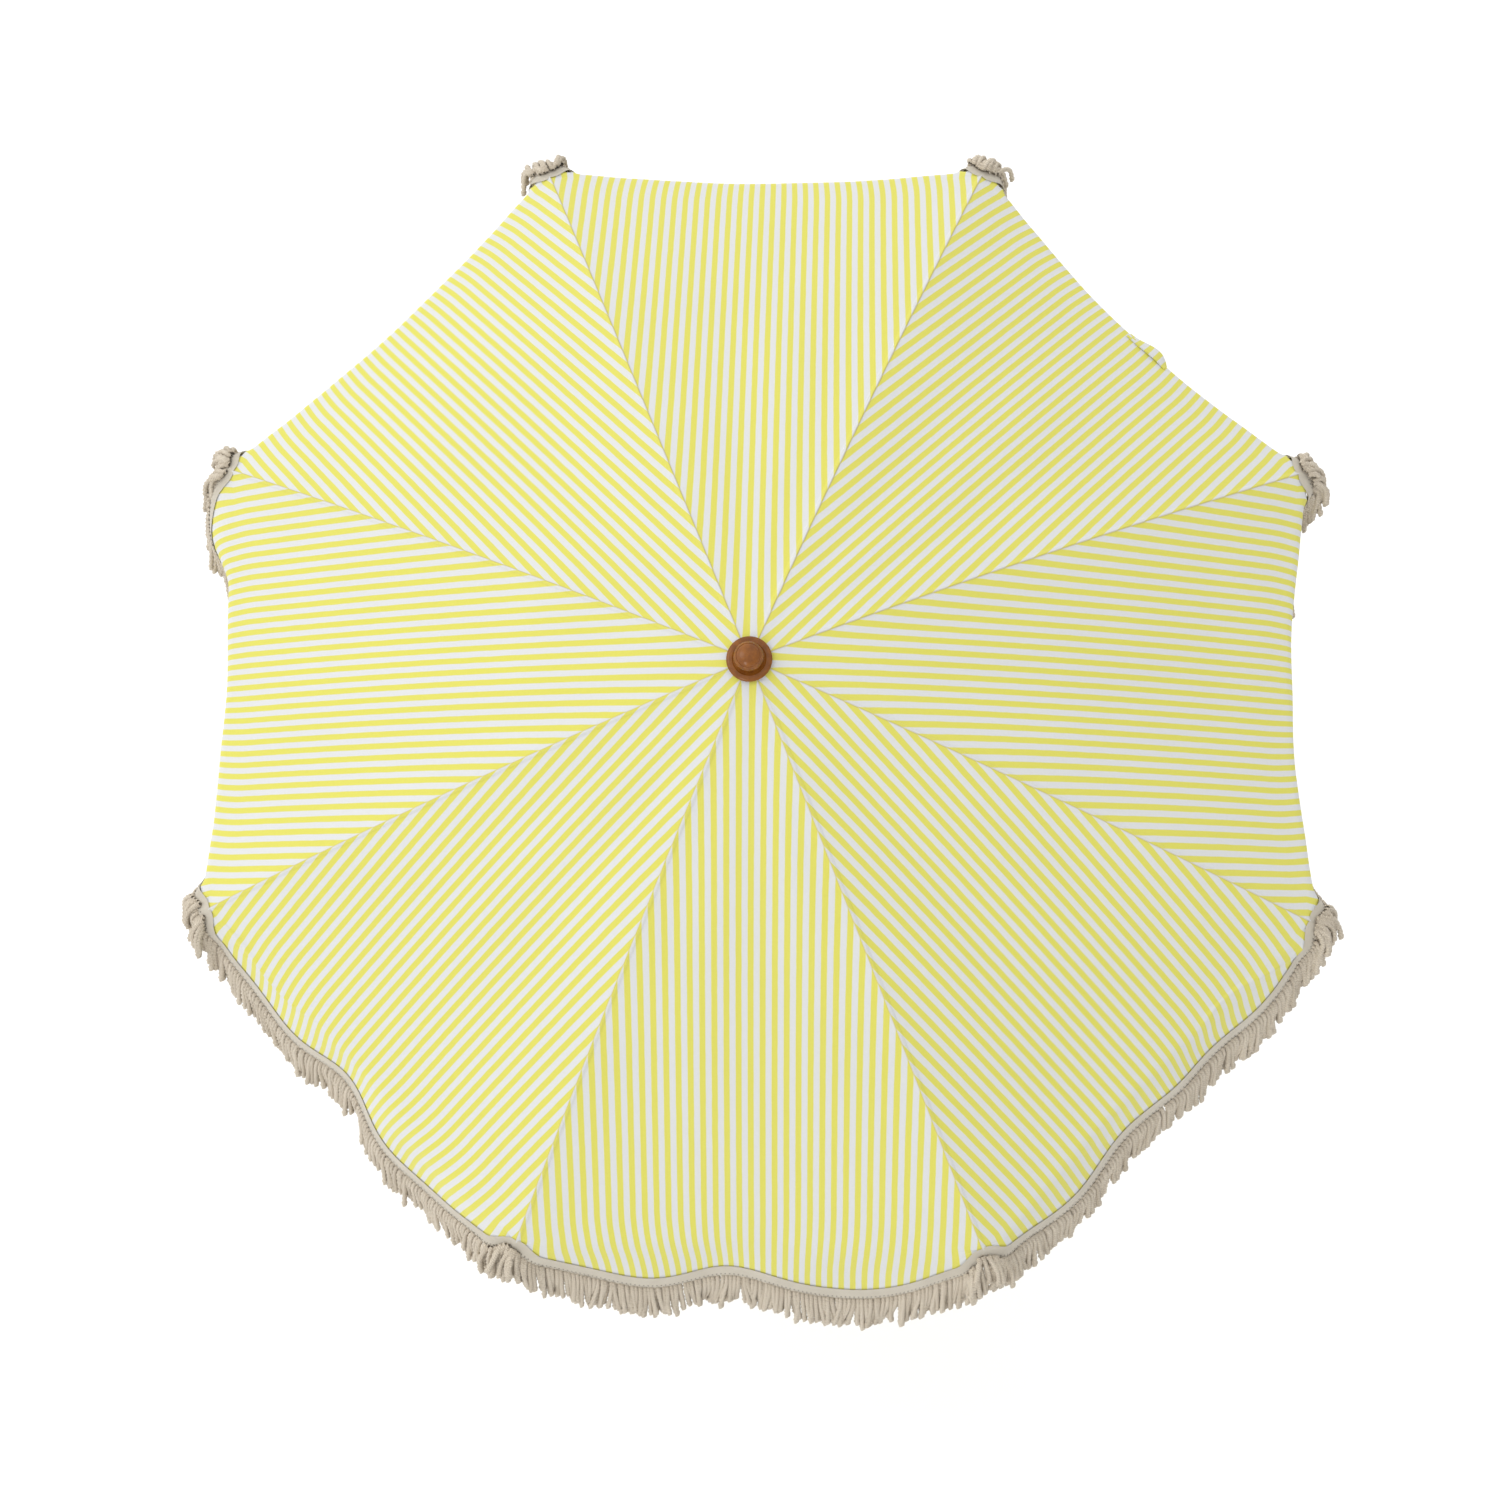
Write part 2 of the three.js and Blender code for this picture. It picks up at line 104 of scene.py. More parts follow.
# ---- meshes ----
def make_mesh(name, points, faces, material, normals=None, uvs=None, smooth_shading=True):
    """A mesh object from row-frame points; uvs maps a layer's name to a value per face corner."""
    data = bpy.data.meshes.new(name)
    data.from_pydata(np.asarray(points).tolist(), [], np.asarray(faces).tolist())
    for layer, values in (uvs or {}).items():
        made = data.uv_layers.new(name=layer)
        made.data.foreach_set("uv", np.asarray(values, np.float32).ravel())
    data.materials.append(material)
    if smooth_shading:
        data.shade_smooth()
    if normals is not None:
        data.normals_split_custom_set_from_vertices(np.asarray(normals).tolist())
    data.update()
    piece = bpy.data.objects.new(name, data)
    bpy.context.collection.objects.link(piece)
    return piece


def grid_faces(rows, columns):
    """Quads of a grid whose points run row by row."""
    r, c = np.meshgrid(np.arange(rows - 1), np.arange(columns - 1), indexing="ij")
    a = r * columns + c
    return np.stack([a, a + columns, a + columns + 1, a + 1], -1).reshape(-1, 4)


def grid_corners(values):
    """A grid's values per point, given to the corners of its faces."""
    return np.stack([values[:-1, :-1], values[1:, :-1], values[1:, 1:], values[:-1, 1:]], 2).reshape(-1, 2)


def turned_mesh(name, profile, material, matrix, segments=72):
    """A turned piece about the frame's Z from (radius, height) pairs, open ends closed on the axis."""
    profile = np.array(profile, float)
    angle = np.linspace(0, 2 * math.pi, segments, endpoint=False)
    x = profile[:, 0:1] * np.cos(angle)
    y = profile[:, 0:1] * np.sin(angle)
    z = np.repeat(profile[:, 1:2], segments, 1)
    points = placed(np.stack([x, y, z], -1).reshape(-1, 3), matrix)
    faces = []
    for r in range(len(profile) - 1):
        for c in range(segments):
            d = (c + 1) % segments
            low = r * segments
            high = low + segments
            faces.append([low + c, low + d, high + d, high + c])
    return make_mesh(name, points, faces, material)


def rounded(corners, radius, steps=4):
    """A profile with its corners rounded; the first and last points stay."""
    corners = [np.array(c, float) for c in corners]
    path = [corners[0]]
    for before, corner, after in zip(corners, corners[1:], corners[2:]):
        back = before - corner
        on = after - corner
        reach = min(radius, np.linalg.norm(back) * 0.45, np.linalg.norm(on) * 0.45)
        start = corner + back / max(np.linalg.norm(back), 1e-9) * reach
        end = corner + on / max(np.linalg.norm(on), 1e-9) * reach
        for i in range(steps + 1):
            t = i / steps
            path.append((1 - t) ** 2 * start + 2 * t * (1 - t) * corner + t * t * end)
    path.append(corners[-1])
    return path


# ---- materials ----
class Nodes:
    """A few helpers to build a node material."""

    def __init__(self, name):
        self.material = bpy.data.materials.new(name)
        self.material.use_nodes = True
        self.tree = self.material.node_tree
        self.shader = self.tree.nodes["Principled BSDF"]

    def add(self, kind, **inputs):
        node = self.tree.nodes.new(kind)
        for key, value in inputs.items():
            self.put(node, key, value)
        return node

    def put(self, node, key, value):
        socket = node.inputs[int(key[1:]) if key[0] == "_" and key[1:].isdigit() else key]
        if isinstance(value, bpy.types.NodeSocket):
            self.tree.links.new(value, socket)
        else:
            socket.default_value = value

    def math(self, operation, a, b=0.0, clamp=False):
        node = self.add("ShaderNodeMath", _0=a, _1=b)
        node.operation = operation
        node.use_clamp = clamp
        return node.outputs[0]

    def mix(self, share, a, b):
        node = self.tree.nodes.new("ShaderNodeMix")
        node.data_type = "RGBA"
        self.put(node, "_0", share)
        self.put(node, "_6", a)
        self.put(node, "_7", b)
        return node.outputs[2]

    def ramp(self, value, stops):
        node = self.add("ShaderNodeValToRGB", Fac=value)
        elements = node.color_ramp.elements
        while len(elements) < len(stops):
            elements.new(0.5)
        for element, (place, colour) in zip(elements, stops):
            element.position = place
            element.color = colour
        return node.outputs[0]

    def noise(self, vector, scale, detail=3.0, rough=0.5):
        node = self.add("ShaderNodeTexNoise", Vector=vector, Scale=scale, Detail=detail, Roughness=rough)
        return node.outputs[0]

    def coords(self, kind="Object"):
        return self.add("ShaderNodeTexCoord").outputs[kind]

    def uv(self, layer):
        node = self.tree.nodes.new("ShaderNodeUVMap")
        node.uv_map = layer
        split = self.add("ShaderNodeSeparateXYZ", Vector=node.outputs[0])
        return node.outputs[0], split.outputs[0], split.outputs[1]

    def bump(self, height, strength, distance):
        node = self.add("ShaderNodeBump", Strength=strength, Distance=distance, Height=height)
        self.put(self.shader, "Normal", node.outputs[0])

    def finish(self, colour, roughness, metallic=0.0, **more):
        self.put(self.shader, "Base Color", colour)
        self.put(self.shader, "Roughness", roughness)
        self.put(self.shader, "Metallic", metallic)
        for key, value in more.items():
            self.put(self.shader, key.replace("_", " "), value)
        return self.material


def grey(value):
    return (value, value, value, 1)


YELLOW = (0.66, 0.625, 0.118, 1)
WHITE = (0.645, 0.652, 0.65, 1)


def striped_cloth():
    n = Nodes("striped_cloth")
    plain, across, along = n.uv("cut")
    wobble = n.noise(plain, 45.0, 2.0)
    shifted = n.math("MULTIPLY_ADD", n.math("SUBTRACT", wobble, 0.5), 0.0011)
    n.put(shifted.node, "_2", across)
    phase = n.math("FRACT", n.math("DIVIDE", shifted, STRIPE))
    coloured = [(0.0, grey(0.5)), (0.03, grey(0)), (0.47, grey(0))]
    plain_half = [(0.53, grey(1)), (0.97, grey(1)), (1.0, grey(0.5))]
    stripes = n.ramp(phase, coloured + plain_half)
    colour = n.mix(stripes, YELLOW, WHITE)
    # warp and weft threads
    warp = n.math("SINE", n.math("MULTIPLY", across, 2 * math.pi / 0.0011))
    weft = n.math("SINE", n.math("MULTIPLY", along, 2 * math.pi / 0.0013))
    weave = n.math("MULTIPLY", warp, weft)
    slub = n.noise(plain, 260.0, 2.0)
    cloudy = n.noise(n.coords(), 5.0, 3.0)
    tone = n.math("ADD", n.math("MULTIPLY", weave, 0.012), n.math("MULTIPLY", slub, 0.05))
    tone = n.math("ADD", tone, n.math("MULTIPLY", cloudy, 0.05))
    tone = n.math("ADD", tone, 0.925)
    # the seams: a painted golden shadow in the fold and a row of stitches beside it
    _, off, run = n.uv("seam")
    fold = n.math("SUBTRACT", 1.0, n.math("DIVIDE", n.math("ABSOLUTE", off), 0.0016), clamp=True)
    beside = n.math("ABSOLUTE", n.math("SUBTRACT", off, 0.0042))
    stitch_line = n.math("SUBTRACT", 1.0, n.math("DIVIDE", beside, 0.0006), clamp=True)
    dash = n.math("GREATER_THAN", n.math("FRACT", n.math("DIVIDE", run, 0.0034)), 0.35)
    stitch = n.math("MULTIPLY", stitch_line, dash)
    # painted shadow: the cloth darkened to gold along the seam's fold
    colour = n.mix(n.math("MULTIPLY", fold, 0.5), colour, (0.42, 0.34, 0.16, 1))
    colour = n.mix(n.math("MULTIPLY", stitch, 0.35), colour, (0.62, 0.58, 0.40, 1))
    shade = n.add("ShaderNodeVectorMath", _0=colour)
    shade.operation = "SCALE"
    n.put(shade, "Scale", tone)
    height = n.math("ADD", n.math("MULTIPLY", weave, 0.35), n.math("MULTIPLY", slub, 0.6))
    height = n.math("SUBTRACT", height, n.math("MULTIPLY", stitch, 1.5))
    n.bump(height, 0.35, 0.0004)
    return n.finish(shade.outputs[0], 0.86, Specular_IOR_Level=0.2, Sheen_Weight=0.12)


def cotton(name, ribbed, dark, light):
    n = Nodes(name)
    plain, across, along = n.uv("cut")
    fibre = n.noise(plain, 900.0, 3.0)
    patch = n.noise(n.coords(), 38.0, 3.0)
    colour = n.mix(patch, dark, light)
    if ribbed:
        ribs = n.math("SINE", n.math("MULTIPLY", across, 2 * math.pi / 0.0016))
        place = n.math("SUBTRACT", n.math("FRACT", n.math("DIVIDE", across, STRAND_GAP)), 0.5)
        wide = n.math("DIVIDE", place, 0.24)
        tall = n.math("DIVIDE", n.math("SUBTRACT", along, TAPE - 0.0040), 0.0019)
        round_off = n.math("ADD", n.math("MULTIPLY", wide, wide), n.math("MULTIPLY", tall, tall))
        hole = n.math("SUBTRACT", 1.0, round_off, clamp=True)
        # painted shade: dark dots inside the holes where the strands pass through, near the tape's lower
        # edge
        colour = n.mix(n.math("MULTIPLY", hole, 0.85), colour, (0.16, 0.13, 0.10, 1))
        height = n.math("ADD", n.math("MULTIPLY", ribs, 0.5), fibre)
        height = n.math("SUBTRACT", height, n.math("MULTIPLY", hole, 2.0))
    else:
        turns = n.math("ADD", n.math("DIVIDE", across, GIRTH), n.math("DIVIDE", along, 0.0062))
        ply = n.math("SINE", n.math("MULTIPLY", turns, 4 * math.pi))
        # painted shade in the groove between the two plies
        ply_groove_shade = n.math("SUBTRACT", 0.5, n.math("MULTIPLY", ply, 0.5))
        each = n.noise(plain, 6.0, 1.0)
        # painted shade: strands darker near the tape, where they crowd together
        root_shade = n.math("SUBTRACT", 1.0, n.math("DIVIDE", along, 0.012), clamp=True)
        # painted shade from the ply grooves and near the tape, plus a random tone for each strand, mixed
        # towards dark brown
        shade = n.math("ADD", n.math("MULTIPLY", ply_groove_shade, 0.46), n.math("MULTIPLY", root_shade, 0.3))
        shade = n.math("ADD", shade, n.math("MULTIPLY", n.math("SUBTRACT", each, 0.5), 0.8), clamp=True)
        height = n.math("ADD", n.math("MULTIPLY", ply, 0.9), fibre)
        colour = n.mix(shade, colour, (0.33, 0.268, 0.19, 1))
    n.bump(height, 0.6, 0.0006)
    return n.finish(colour, 0.92, Specular_IOR_Level=0.15, Sheen_Weight=0.2)


def timber(name, light, dark, roughness, lean=0.0, coat=0.0):
    """Wood with its grain along an axis that leans from the upright about X."""
    n = Nodes(name)
    upright = n.add("ShaderNodeMapping", Vector=n.coords(), Rotation=(-lean, 0, 0))
    mapped = n.add("ShaderNodeMapping", Vector=upright.outputs[0], Scale=(9, 9, 0.7))
    grain = n.noise(mapped.outputs[0], 9.0, 6.0, 0.62)
    fine = n.noise(mapped.outputs[0], 70.0, 3.0)
    wear = n.noise(n.coords(), 24.0, 4.0)
    bands = n.ramp(grain, [(0.38, dark), (0.62, light)])
    colour = n.mix(n.math("MULTIPLY", fine, 0.28), bands, dark)
    rough = n.math("ADD", n.math("MULTIPLY", wear, 0.16), roughness)
    n.bump(n.math("ADD", grain, n.math("MULTIPLY", fine, 0.4)), 0.12, 0.0006)
    return n.finish(colour, rough, Coat_Weight=coat, Coat_Roughness=0.12, Specular_IOR_Level=0.3)


def metal(name, colour, worn, roughness):
    n = Nodes(name)
    brushed = n.add("ShaderNodeMapping", Vector=n.coords())
    n.put(brushed, "Scale", (1, 1, 14))
    fine = n.noise(brushed.outputs[0], 120.0, 4.0)
    stain = n.noise(n.coords(), 30.0, 5.0, 0.6)
    shade = n.mix(n.ramp(stain, [(0.45, grey(0)), (0.75, grey(0.6))]), colour, worn)
    rough = n.math("ADD", n.math("MULTIPLY", stain, 0.22), roughness)
    n.bump(fine, 0.08, 0.0003)
    return n.finish(shade, rough, 1.0)


def moulded(name, colour, dusty, roughness, metallic=0.0):
    n = Nodes(name)
    speck = n.noise(n.coords(), 420.0, 3.0)
    patch = n.noise(n.coords(), 16.0, 4.0)
    shade = n.mix(n.math("MULTIPLY", patch, 0.35), colour, dusty)
    rough = n.math("ADD", n.math("MULTIPLY", patch, 0.2), roughness)
    n.bump(speck, 0.12, 0.0003)
    return n.finish(shade, rough, metallic)


CLOTH = striped_cloth()
TAPE_COTTON = cotton("tape_cotton", True, (0.51, 0.462, 0.38, 1), (0.62, 0.575, 0.485, 1))
STRAND_COTTON = cotton("strand_cotton", False, (0.60, 0.525, 0.415, 1), (0.73, 0.655, 0.54, 1))
POLE_WOOD = timber("pole_timber", (0.46, 0.26, 0.115, 1), (0.29, 0.145, 0.055, 1), 0.42)
HEAD_WOOD = timber("leaning_timber", (0.46, 0.26, 0.115, 1), (0.29, 0.145, 0.055, 1), 0.42, TILT)
VARNISHED = timber("varnished_wood", (0.25, 0.083, 0.009, 1), (0.165, 0.05, 0.005, 1), 0.17, TILT, 0.1)
BRASS = metal("brass_fittings", (0.47, 0.32, 0.12, 1), (0.24, 0.15, 0.06, 1), 0.3)
STEEL = metal("steel_wire", (0.55, 0.56, 0.57, 1), (0.30, 0.29, 0.27, 1), 0.32)
PAINT = moulded("rib_paint", (0.58, 0.55, 0.47, 1), (0.42, 0.38, 0.30, 1), 0.35)
NYLON = moulded("cream_nylon", (0.56, 0.52, 0.43, 1), (0.42, 0.37, 0.29, 1), 0.42)
DARK = moulded("dark_nylon", (0.045, 0.035, 0.03, 1), (0.09, 0.075, 0.065, 1), 0.4)


# ---- shape of the cover ----
def rib_height(reach):
    s = reach / SPREAD
    return RISE * (1 - s) + 4 * BOW * s * (1 - s)


def near(azimuth, panel):
    """One on the given panel, nothing on the others."""
    return (np.abs(np.cos((azimuth - panel * STEP) / 2)) > 0.98) * 1.0


def edge_sag(azimuth):
    """How far the taut edge curves in between two ribs; two panels are cut a little deeper."""
    return EDGE_SAG + DEEPER_SAG * (near(azimuth, 0) + near(azimuth, 1))


def lobe_depth(across, azimuth):
    """Depth of the flap: shallower at the panel's middle, deeper where the cut is generous."""
    inward = 1 - np.abs(across)
    blend = smooth(inward / 0.12)
    shape = (1 - (1 - inward) ** 4) * blend + 1.4 * inward * (1 - blend)
    shape = shape * (1 - 0.2 * np.exp(-((across / 0.28) ** 2)))
    more = 0.30 * near(azimuth, 6) * np.exp(-(((across - 0.5) / 0.3) ** 2))
    more = more + 0.30 * near(azimuth, 5) * np.exp(-(((across - 0.45) / 0.35) ** 2))
    return LOBE * shape * (1 + more)


def gather(across, past, azimuth):
    """How far the cloth is drawn to the panel's middle; past is the distance beyond the taut edge."""
    after = across > 0
    share = 1 - 0.5 * near(azimuth, 6) * after - 1.3 * near(azimuth, 7) * ~after
    return 0.036 * share * across * (1 - across**2) * smooth((past + 0.035) / 0.125)


def taut(across, share, azimuth):
    """Stretched part of a panel, in the panel's own frame: x outward, y across, z up the axis."""
    rim = 1 - edge_sag(azimuth) / (SPREAD * math.cos(HALF)) * (1 - across**2)
    start = CENTRE / SPREAD
    s = start + (rim - start) * share
    reach = s * SPREAD
    x = reach * math.cos(HALF)
    y = across * reach * math.sin(HALF) - gather(across, (s - rim) * SPREAD, azimuth)
    z = rib_height(reach) - CROSS_SAG * s * (1 - across**2)
    return np.stack([x, y, z], -1)


def swing(across):
    """How far the way the cloth hangs turns from the panel's centre line towards the rib."""
    return HALF * np.sign(across) * smooth((np.abs(across) - 0.8) / 0.2)


def pull(azimuth):
    """Gravity in a panel frame."""
    sideways = -math.sin(TILT)
    along_axis = -math.cos(TILT) * np.ones_like(azimuth)
    return np.stack([sideways * np.sin(azimuth), sideways * np.cos(azimuth), along_axis], -1)


def billow(across, azimuth):
    """Where the flap stands off more before it hangs: by a rib, and where the cut is generous."""
    upper = 0.075 * near(azimuth, 4) * smooth((-0.48 - across) / 0.3)
    front = 0.020 * near(azimuth, 6) * np.exp(-(((across - 0.5) / 0.3) ** 2))
    side = 0.024 * near(azimuth, 5) * np.exp(-(((across - 0.5) / 0.4) ** 2))
    return upper + front + side


def hang_direction(across, azimuth, below):
    turn = swing(across)
    down = pull(azimuth + turn)
    down[..., 1] = 0
    down /= np.linalg.norm(down, axis=-1, keepdims=True)
    panel = np.array([0.91, 0, -0.41])
    stiff = 0.034 + 0.075 * smooth((np.abs(across) - 0.86) / 0.14) + billow(across, azimuth)
    k = smooth(below / stiff)[..., None]
    way = panel * (1 - k) + down * k
    way /= np.linalg.norm(way, axis=-1, keepdims=True)
    return np.stack([way[..., 0] * np.cos(turn), way[..., 0] * np.sin(turn), way[..., 2]], -1)


def hanging(across, azimuth, below):
    """The flap below the taut edge, at a distance along the cloth."""
    point = taut(across, np.ones_like(across), azimuth)
    steps = 16
    for i in range(steps):
        way = hang_direction(across, azimuth, below * (i + 0.5) / steps)
        point = point + way * (below / steps)[..., None]
    point[..., 1] -= gather(across, below, azimuth) - gather(across, 0, azimuth)
    wave = np.cos(2 * math.pi * 1.5 * across + azimuth) * 0.006 * smooth(below / 0.08) * (1 - across**2)
    point[..., 0] += wave
    return point


def around(points, azimuth):
    """Points of a panel frame taken to the canopy frame."""
    c, s = np.cos(azimuth), np.sin(azimuth)
    x = points[..., 0] * c - points[..., 1] * s
    y = points[..., 0] * s + points[..., 1] * c
    return np.stack([x, y, points[..., 2]], -1)


# a seam: distances from it, and how high the felled cloth stands there
SEAM_STEPS = np.array([0, 0.0007, 0.0018, 0.0034, 0.005, 0.0062, 0.008])
SEAM_RISE = np.array([0.0004, 0.0016, 0.0017, 0.0013, 0.0014, 0.0003, 0.0])
INNER = 50
# half the panel's width below which the seam is made narrower
FULL_SEAM = 0.03
TAUT_ROWS = 72
LOBE_ROWS = 34
FALLS = np.linspace(0, 1, LOBE_ROWS)[1:] ** 1.2


def across_at(half_width):
    """Columns from rib to rib: close together beside the seams, even between them."""
    shrink = np.minimum(1, half_width / FULL_SEAM)
    beside = SEAM_STEPS * shrink / half_width
    inner = np.linspace(-1 + beside[-1], 1 - beside[-1], INNER + 1)[1:-1]
    return np.concatenate([-1 + beside, inner, (1 - beside)[::-1]])


def panel_grid(panel):
    """Rows by columns of the whole panel, with each point's place on the flat cut and from the seam."""
    azimuth = panel * STEP
    shares = np.linspace(0, 1, TAUT_ROWS) ** 0.9
    rows, cuts, seams = [], [], []
    for index in range(TAUT_ROWS + len(FALLS)):
        share = min(shares[min(index, TAUT_ROWS - 1)], 1)
        half_width = max(share * SPREAD, CENTRE) * math.sin(HALF)
        across = across_at(half_width)
        ones = np.ones_like(across)
        if index < TAUT_ROWS:
            point = taut(across, ones * share, azimuth)
            below = 0 * ones
        else:
            below = 0.0008 + lobe_depth(across, azimuth) * FALLS[index - TAUT_ROWS]
            point = hanging(across, azimuth * ones, below)
        width = across * half_width
        reach = share * SPREAD * math.cos(HALF)
        cuts.append(np.stack([width, reach + below], -1))
        from_before = (across + 1) * half_width
        from_after = (across - 1) * half_width
        seams.append(np.stack([np.where(across < 0, from_before, from_after), reach + below], -1))
        rows.append(around(point, azimuth))
    return np.array(rows), np.array(cuts), np.array(seams)


def crease(panel, across, below):
    """A fold line pressed into the flaps of the low side panels, just past the taut edge."""
    if panel not in (5, 7):
        return 0 * across
    side = across if panel == 7 else -across
    window = smooth((side - 0.25) / 0.2) * smooth((0.97 - side) / 0.08)
    place = 0.016 + 0.012 * np.sin(9 * across)
    return 0.0024 * window * np.exp(-(((below - place) / 0.0045) ** 2))


def ripples(panel, across, row_share):
    """Slack in the cloth: broad waves, creases that fan from the rib tips, puckers along the seams."""
    swell = np.sin(math.pi * np.clip(row_share, 0, 1))
    broad = 0.0016 * np.sin(2.2 * math.pi * across + 1.7 * panel) * swell
    near_rim = np.exp(-(((row_share - 1) / 0.16) ** 2))
    fan = 0.0016 * np.cos(9 * math.pi * across + panel) * np.abs(across) ** 3 * near_rim
    pucker = 0.0006 * np.sin(row_share * 160 + panel) * np.exp(-((1 - np.abs(across)) / 0.06) ** 2)
    edge = np.sin(math.pi * (across + 1) / 2)
    return (broad + fan) * edge + pucker * (1 - np.exp(-((1 - np.abs(across)) / 0.02) ** 2))


def cover_grid():
    """The whole cover as one closed ring of columns, with its normals."""
    parts = [panel_grid(p) for p in range(PANELS)]
    count = parts[0][0].shape[1]
    points = np.concatenate([part[0][:, :-1] for part in parts], 1)
    rows = points.shape[0]
    row_share = np.concatenate([np.linspace(0, 1, TAUT_ROWS), 1 + np.linspace(0, 1, LOBE_ROWS)[1:] * 0.2])

    def normals_of(grid):
        over = np.roll(grid, -1, 1) - np.roll(grid, 1, 1)
        along = np.gradient(grid, axis=0)
        normal = np.cross(along, over)
        return normal / np.maximum(np.linalg.norm(normal, axis=-1, keepdims=True), 1e-12)

    base = normals_of(points)
    lift = np.zeros(points.shape[:2])
    for p in range(PANELS):
        columns = slice(p * (count - 1), (p + 1) * (count - 1))
        half_widths = np.maximum(np.minimum(row_share, 1) * SPREAD, CENTRE) * math.sin(HALF)
        for r in range(rows):
            across = across_at(half_widths[r])[:-1]
            ridge = np.zeros_like(across)
            ridge[: len(SEAM_STEPS)] = SEAM_RISE * min(1, half_widths[r] / FULL_SEAM)
            fade = 1 - smooth((row_share[r] - 1.0) / 0.02)
            lift[r, columns] = ridge * fade + ripples(p, across, row_share[r])
            if r >= TAUT_ROWS:
                below = lobe_depth(across, p * STEP) * FALLS[r - TAUT_ROWS]
                lift[r, columns] += crease(p, across, below)
    points = points + base * lift[..., None]
    return points, normals_of(points), parts, count


def sector_columns(count, index):
    """Columns of the ring that a rib's sector covers, from one panel's centre to the next."""
    middle = (count - 1) // 2
    start = index * (count - 1) + middle
    return np.arange(start, start + count)


def corner_values(parts, index, which):
    """Per face corner values for a sector, where the two panels at the seam each have their own."""
    first = parts[index][which]
    second = parts[(index + 1) % PANELS][which]
    middle = (first.shape[1] - 1) // 2
    left = np.concatenate([first[:, middle:-1], second[:, :middle]], 1)
    right = np.concatenate([first[:, middle + 1 :], second[:, 1 : middle + 1]], 1)
    values = np.stack([left[:-1], left[1:], right[1:], right[:-1]], 2)
    return values.reshape(-1, 2)


def rib_of(index):
    return HALF + index * STEP


def follow(piece, index):
    """The piece rides the rib as the umbrella folds."""
    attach(piece, f"rib_{index + 1}")
    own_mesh(piece)
    return piece


def make_cover():
    points, normals, parts, count = cover_grid()
    ring = points.shape[1]
    rows = points.shape[0]
    turn = np.array(CANOPY)[:3, :3]
    sectors = []
    for index in range(PANELS):
        columns = sector_columns(count, index) % ring
        grid = placed(points[:, columns].reshape(-1, 3))
        shading = normals[:, columns].reshape(-1, 3) @ turn.T
        cut = corner_values(parts, index, 1)
        seam = corner_values(parts, index, 2)
        faces = grid_faces(rows, len(columns))
        layers = {"cut": cut, "seam": seam}
        sector = make_mesh(f"cover_{index + 1}", grid, faces, CLOTH, shading, layers)
        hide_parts(f"canopy_{index + 1}")
        follow(sector, index)
        sectors.append(sector)
    return sectors


# ---- tape and strands ----
def edge_line(index, count, below):
    """The sector's lower edge from panel centre to panel centre, a distance past the end of the cloth."""
    side = np.linspace(-1, 1, count)
    rib = rib_of(index)
    azimuth = np.where(side < 0, rib - HALF, rib + HALF)
    across = np.where(side < 0, side + 1, side - 1)
    reach = lobe_depth(across, azimuth) + below
    point = around(hanging(across, azimuth, reach), azimuth)
    step = around(hanging(across, azimuth, reach + 0.001), azimuth) - point
    return point, step / np.linalg.norm(step, axis=-1, keepdims=True)


def lengths_along(line):
    return np.concatenate([[0], np.cumsum(np.linalg.norm(np.diff(line, axis=0), axis=1))])


def make_tape(index):
    count = 241
    rows = []
    marks = (-0.004, -0.001, 0.003, 0.007, 0.011, 0.015, 0.0185)
    for below in marks:
        line, way = edge_line(index, count, below)
        along = np.gradient(line, axis=0)
        out = np.cross(way, along)
        out /= np.linalg.norm(out, axis=-1, keepdims=True)
        rows.append(line + out * 0.0016)
    run = lengths_along(rows[3])
    run -= run[-1] / 2
    grid = np.array(rows)
    cut = np.array([np.stack([run, np.full_like(run, below + 0.004)], -1) for below in marks])
    layers = {"cut": grid_corners(cut)}
    points = placed(grid.reshape(-1, 3))
    tape = make_mesh(f"tape_{index + 1}", points, grid_faces(len(marks), count), TAPE_COTTON, None, layers)
    return follow(tape, index)


def apply_modifiers(piece):
    depsgraph = bpy.context.evaluated_depsgraph_get()
    data = bpy.data.meshes.new_from_object(piece.evaluated_get(depsgraph))
    piece.modifiers.clear()
    piece.data = data


RINGS = 19
SIDES = 8


def strand_path(start, way, out, length, spread, stiff=0.030):
    """Centre line of a strand: it leaves the tape the way the tape runs, then gravity takes it."""
    down = np.array([0, -math.sin(TILT), -math.cos(TILT)])
    lean = down + spread
    lean /= np.linalg.norm(lean)
    point = start.copy()
    path = [point.copy()]
    curl = rng.normal(0, 0.16, 3)
    phase = rng.uniform(0, 2 * math.pi)
    for i in range(RINGS - 1):
        t = (i + 0.5) / (RINGS - 1)
        k = float(smooth(np.array((t * length) / stiff)))
        sway = 0.10 * math.sin(4 * t + phase) * t
        step = way * (1 - k) + lean * k + curl * t * 0.55 + out * (0.22 * (1 - k) + sway)
        step /= np.linalg.norm(step)
        point = point + step * (length / (RINGS - 1))
        path.append(point.copy())
    return np.array(path)


